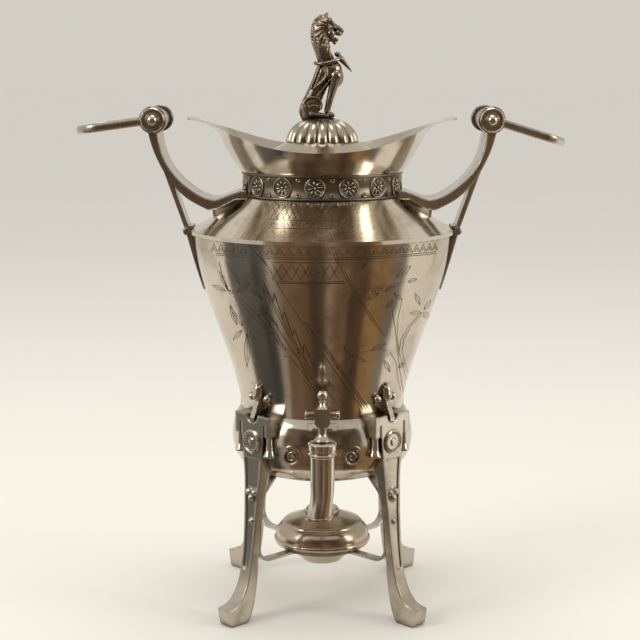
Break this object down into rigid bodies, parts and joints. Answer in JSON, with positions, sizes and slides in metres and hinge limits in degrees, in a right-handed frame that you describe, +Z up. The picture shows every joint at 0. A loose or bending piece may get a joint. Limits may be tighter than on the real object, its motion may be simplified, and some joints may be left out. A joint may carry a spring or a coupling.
{
  "type": "samovar",
  "caption": "Silver-plated table urn with a spirit burner, a front tap, hinged bail handles, a boat-shaped mouth and a lid with a seated beast.",
  "frame": {"origin": "centre of the urn on the table top, under its four feet", "axes": "+Z up, -Y out of the front where the tap is, +X to the viewer's right"},
  "size_m": [0.3847, 0.212, 0.4772],
  "materials": {
    "plate": "polished silver plate with a warm aged tone",
    "cast_plate": "silver-plated castings, darker in the hollows",
    "plain_brass": "plain turned brass",
    "wick_cotton": "plaited cotton",
    "washer_leather": "oiled leather"
  },
  "bodies": {
    "vessel": {"lower_bowl": "plate", "body_cone": "plate", "shoulder": "plate", "neck_band": "plate", "mouth_rim": "plate", "lid_seat": "plate", "leg_front_left": "cast_plate", "leg_front_right": "cast_plate", "leg_rear_left": "cast_plate", "leg_rear_right": "cast_plate", "leg_rosettes": "cast_plate", "leg_sprays": "cast_plate", "leg_drops": "cast_plate", "cradle_ring": "cast_plate", "cradle_straps": "cast_plate", "handle_arm_left": "cast_plate", "handle_arm_right": "cast_plate", "handle_strut_left": "cast_plate", "handle_strut_right": "cast_plate", "bail_pin_left": "plate", "bail_pin_right": "plate", "bail_cap_left": "plate", "bail_cap_right": "plate", "tap_escutcheon": "plate", "tap_shank": "plate", "tap_washer": "washer_leather", "tap_nut": "plain_brass", "tap_barrel": "plate", "tap_bonnet": "plate"},
    "lid": {"lid_cover": "plate", "lid_dome": "plate", "finial_beast": "cast_plate", "finial_nut": "plain_brass"},
    "bail_l": {"bail_left": "plate"},
    "bail_r": {"bail_right": "plate"},
    "tap_key": {"tap_plug": "plate", "tap_key_block": "plate", "tap_crossbar": "plate", "tap_knob": "plate"},
    "burner": {"burner_pot": "plate", "burner_rim": "plate", "burner_cover": "plate", "wick_tube": "plain_brass", "wick": "wick_cotton"},
    "snuffer": {"snuffer_cap": "plate"}
  },
  "joints": [
    {"name": "lid_lift", "type": "slide", "parent": "vessel", "child": "lid", "axis": [0, 0, 1], "range_m": [0, 0.06]},
    {"name": "bail_left_hinge", "type": "hinge", "parent": "vessel", "child": "bail_l", "pos_m": [-0.1313, 0, 0.3936], "axis": [0, 1, 0], "range_deg": [0, 150]},
    {"name": "bail_right_hinge", "type": "hinge", "parent": "vessel", "child": "bail_r", "pos_m": [0.1313, 0, 0.3936], "axis": [0, -1, 0], "range_deg": [0, 150]},
    {"name": "tap_turn", "type": "hinge", "parent": "vessel", "child": "tap_key", "pos_m": [0, -0.092, 0.137], "axis": [0, 0, 1], "range_deg": [-90, 90]},
    {"name": "burner_lift", "type": "slide", "parent": "vessel", "child": "burner", "axis": [0, 0, 1], "range_m": [0, 0.02]},
    {"name": "snuffer_lift", "type": "slide", "parent": "burner", "child": "snuffer", "axis": [0, 0, 1], "range_m": [0, 0.012]}
  ]
}
